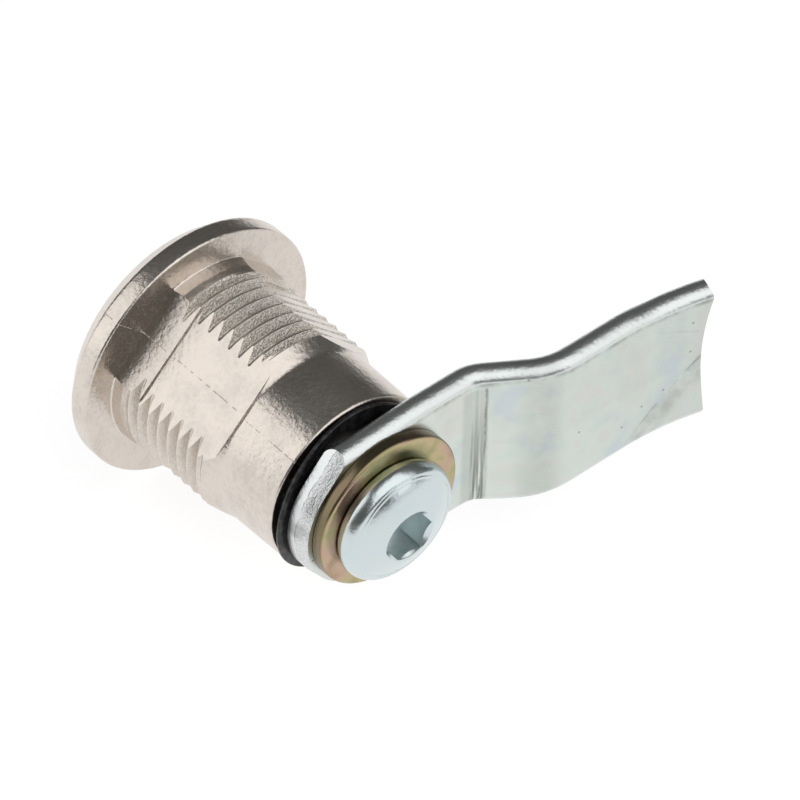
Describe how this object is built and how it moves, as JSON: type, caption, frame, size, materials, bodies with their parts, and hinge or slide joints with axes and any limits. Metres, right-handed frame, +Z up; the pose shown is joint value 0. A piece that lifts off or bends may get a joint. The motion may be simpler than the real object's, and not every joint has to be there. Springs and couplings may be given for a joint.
{
  "type": "cam lock",
  "caption": "Quarter-turn cam lock: round threaded housing with flats and a flange, and a cranked steel cam that its rotor turns behind a door frame.",
  "frame": {"origin": "on the lock axis, in the plane of the flange's rear face, which seats on the panel", "axes": "+Y along the lock axis from the head to the cam screw, -X along the cam at mid travel, +Z up and across the cam"},
  "size_m": [0.0537, 0.0373, 0.0286],
  "materials": {
    "nickel_plate": "semi-gloss nickel plate on a zinc die casting",
    "insert_zinc": "satin nickel plate on a zinc die casting",
    "oring_rubber": "matt black rubber",
    "black_spring_steel": "satin black oxide",
    "cam_zinc_plate": "clear passivated zinc plate",
    "yellow_zinc_plate": "yellow passivated zinc plate",
    "screw_zinc_plate": "bright clear passivated zinc plate"
  },
  "bodies": {
    "housing": {"housing": "nickel_plate"},
    "rotor": {"driver_insert": "insert_zinc", "oring": "oring_rubber", "spring_washer": "black_spring_steel", "cam": "cam_zinc_plate", "flat_washer": "yellow_zinc_plate", "cam_screw": "screw_zinc_plate"}
  },
  "joints": [
    {"name": "cam_turn", "type": "hinge", "parent": "housing", "child": "rotor", "pos_m": [0, 0, 0], "axis": [0, 1, 0], "range_deg": [-45, 45]}
  ]
}
